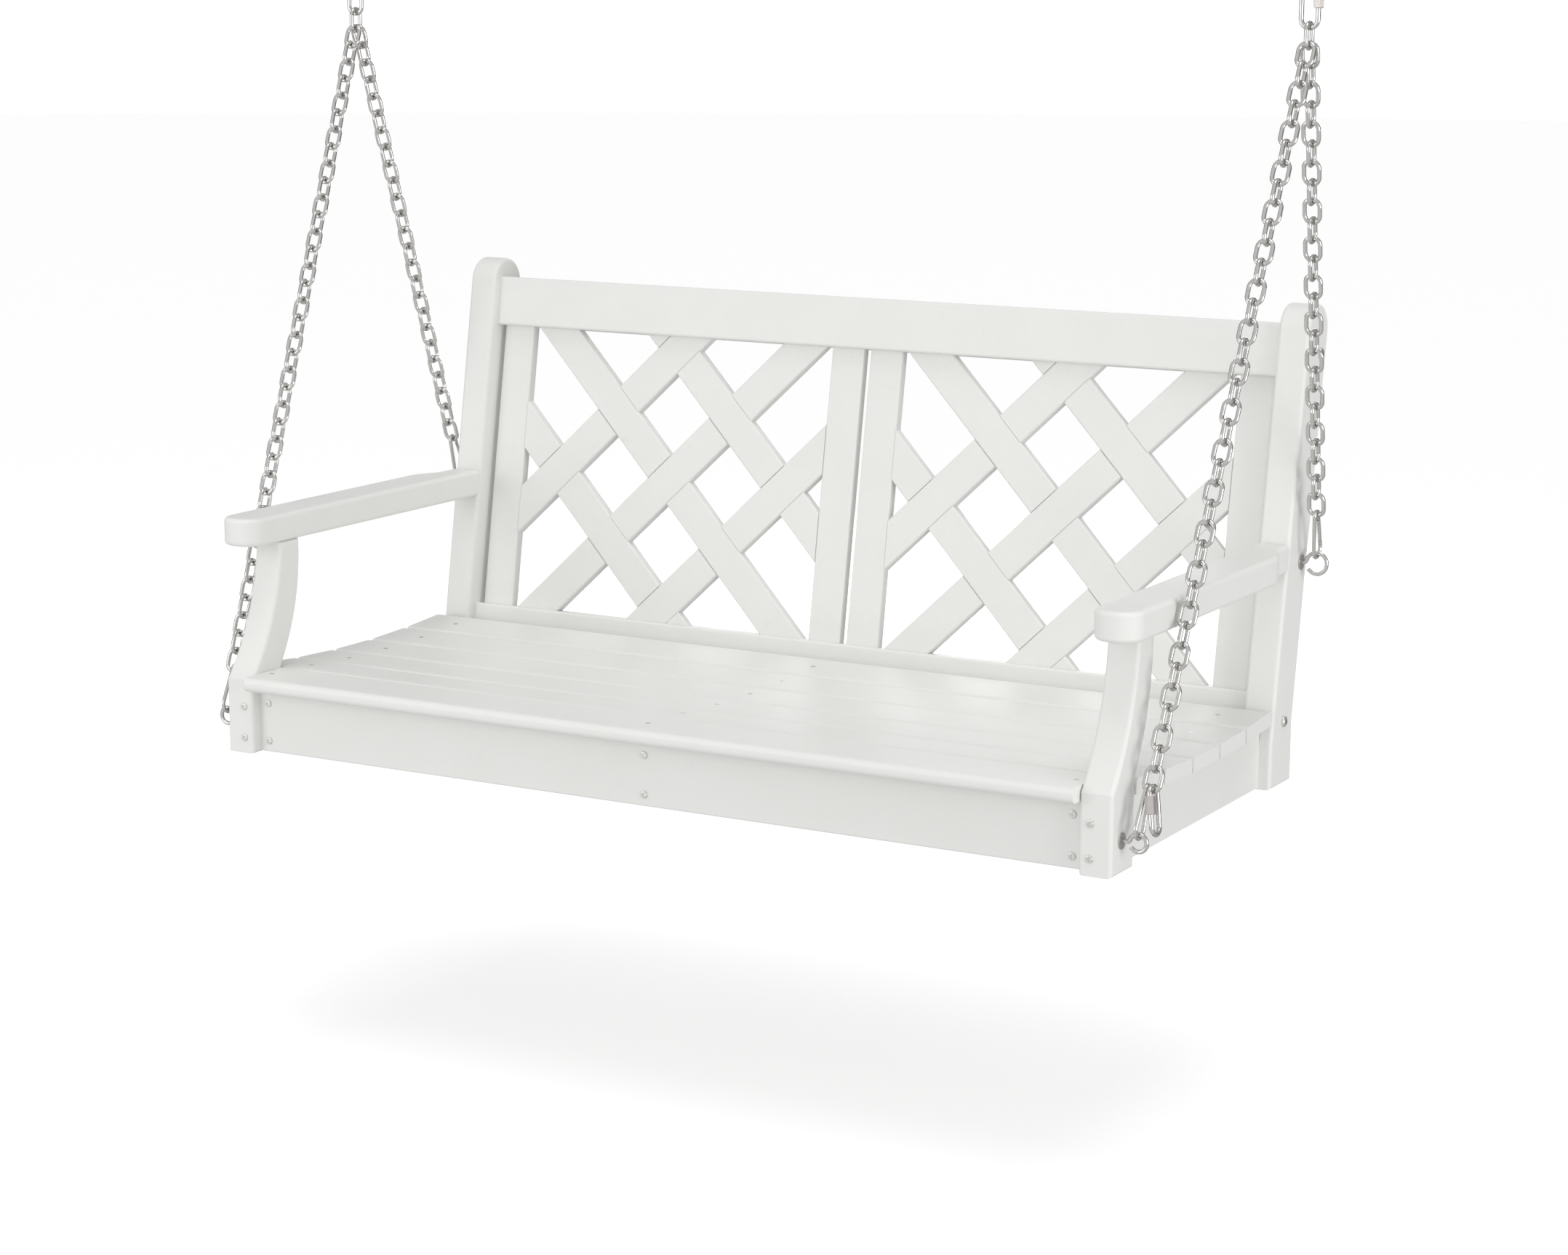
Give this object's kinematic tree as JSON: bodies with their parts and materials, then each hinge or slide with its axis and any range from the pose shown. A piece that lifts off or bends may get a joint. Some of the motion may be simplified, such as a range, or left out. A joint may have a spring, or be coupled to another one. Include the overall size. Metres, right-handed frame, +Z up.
{
  "type": "porch swing seat",
  "caption": "Slatted porch swing bench with a crossed lattice back and curved arms, hung on chains from screw eyes and snap hooks.",
  "frame": {"origin": "midway between the two ceiling hooks, where they bear in the tops of the upper quick links", "axes": "+X to the right of someone looking at the front of the seat, along the bench; +Y from the front of the seat to its back; +Z up"},
  "size_m": [1.418, 0.6591, 1.0104],
  "materials": {
    "plastic_lumber": "satin",
    "bright_steel": "polished",
    "sleeve_steel": "brushed",
    "washer_steel": "matte",
    "screw_steel": "satin"
  },
  "bodies": {
    "hanger": {"top_quick_links": "bright_steel"},
    "hook_gate_front_left": {"hook_gate_front_left": "bright_steel"},
    "hook_gate_front_right": {"hook_gate_front_right": "bright_steel"},
    "hook_gate_rear_left": {"hook_gate_rear_left": "bright_steel"},
    "hook_gate_rear_right": {"hook_gate_rear_right": "bright_steel"},
    "spare_quick_link_right": {"spare_quick_link_right": "bright_steel"},
    "spare_sleeve_right": {"spare_sleeve_right": "sleeve_steel"},
    "top_sleeve_left": {"top_sleeve_left": "sleeve_steel"},
    "top_sleeve_right": {"top_sleeve_right": "sleeve_steel"},
    "swing": {"arm_left": "plastic_lumber", "arm_right": "plastic_lumber", "back_bottom_rail": "plastic_lumber", "back_stile_1": "plastic_lumber", "back_stile_2": "plastic_lumber", "back_stile_3": "plastic_lumber", "back_stile_4": "plastic_lumber", "back_top_rail": "plastic_lumber", "chain_front_left": "bright_steel", "chain_front_right": "bright_steel", "chain_rear_left": "bright_steel", "chain_rear_right": "bright_steel", "chain_top_links": "bright_steel", "eye_washers": "washer_steel", "frame_screws": "screw_steel", "front_apron": "plastic_lumber", "gate_pins": "bright_steel", "lattice_left_falling_lower": "plastic_lumber", "lattice_left_falling_middle": "plastic_lumber", "lattice_left_falling_upper": "plastic_lumber", "lattice_left_rising_lower": "plastic_lumber", "lattice_left_rising_middle": "plastic_lumber", "lattice_left_rising_upper": "plastic_lumber", "lattice_right_falling_lower": "plastic_lumber", "lattice_right_falling_middle": "plastic_lumber", "lattice_right_falling_upper": "plastic_lumber", "lattice_right_rising_lower": "plastic_lumber", "lattice_right_rising_middle": "plastic_lumber", "lattice_right_rising_upper": "plastic_lumber", "leg_left": "plastic_lumber", "leg_right": "plastic_lumber", "post_bolts": "screw_steel", "post_left": "plastic_lumber", "post_right": "plastic_lumber", "screw_eyes": "bright_steel", "seat_slat_1": "plastic_lumber", "seat_slat_2": "plastic_lumber", "seat_slat_3": "plastic_lumber", "seat_slat_4": "plastic_lumber", "seat_slat_5": "plastic_lumber", "seat_slat_6": "plastic_lumber", "seat_support_centre": "plastic_lumber", "seat_support_left": "plastic_lumber", "seat_support_right": "plastic_lumber", "side_apron_left": "plastic_lumber", "side_apron_right": "plastic_lumber", "slat_screws": "screw_steel", "snap_hooks": "bright_steel"}
  },
  "joints": [
    {"name": "swing_hinge", "type": "hinge", "parent": "hanger", "child": "swing", "pos_m": [0, 0, -0.053], "axis": [1, 0, 0], "range_deg": [-25, 25]},
    {"name": "gate_hinge_front_left", "type": "hinge", "parent": "swing", "child": "hook_gate_front_left", "pos_m": [-0.6575, -0.33846, -0.91504], "axis": [-0.9994, -0.0126, -0.0311], "range_deg": [0, 25], "stiffness_Nm_per_rad": 0.1},
    {"name": "gate_hinge_front_right", "type": "hinge", "parent": "swing", "child": "hook_gate_front_right", "pos_m": [0.6575, -0.33846, -0.91504], "axis": [-0.9994, 0.0126, 0.0311], "range_deg": [0, 25], "stiffness_Nm_per_rad": 0.1},
    {"name": "gate_hinge_rear_left", "type": "hinge", "parent": "swing", "child": "hook_gate_rear_left", "pos_m": [-0.65841, 0.17692, -0.66502], "axis": [-0.9985, 0.0146, -0.0521], "range_deg": [0, 25], "stiffness_Nm_per_rad": 0.1},
    {"name": "gate_hinge_rear_right", "type": "hinge", "parent": "swing", "child": "hook_gate_rear_right", "pos_m": [0.65841, 0.17692, -0.66502], "axis": [-0.9985, -0.0146, 0.0521], "range_deg": [0, 25], "stiffness_Nm_per_rad": 0.1},
    {"name": "spare_link_hinge_right", "type": "hinge", "parent": "swing", "child": "spare_quick_link_right", "pos_m": [0.66519, -0.34275, -0.90725], "axis": [0.9848, 0, 0.1736], "range_deg": [-20, 25]},
    {"name": "top_sleeve_slide_left", "type": "slide", "parent": "hanger", "child": "top_sleeve_left", "axis": [0, 0, -1], "range_m": [0, 0.0125]},
    {"name": "top_sleeve_slide_right", "type": "slide", "parent": "hanger", "child": "top_sleeve_right", "axis": [0, 0, -1], "range_m": [0, 0.0125]},
    {"name": "spare_sleeve_slide_right", "type": "slide", "parent": "spare_quick_link_right", "child": "spare_sleeve_right", "axis": [0.1707, -0.1837, -0.968], "range_m": [0, 0.0125]}
  ]
}
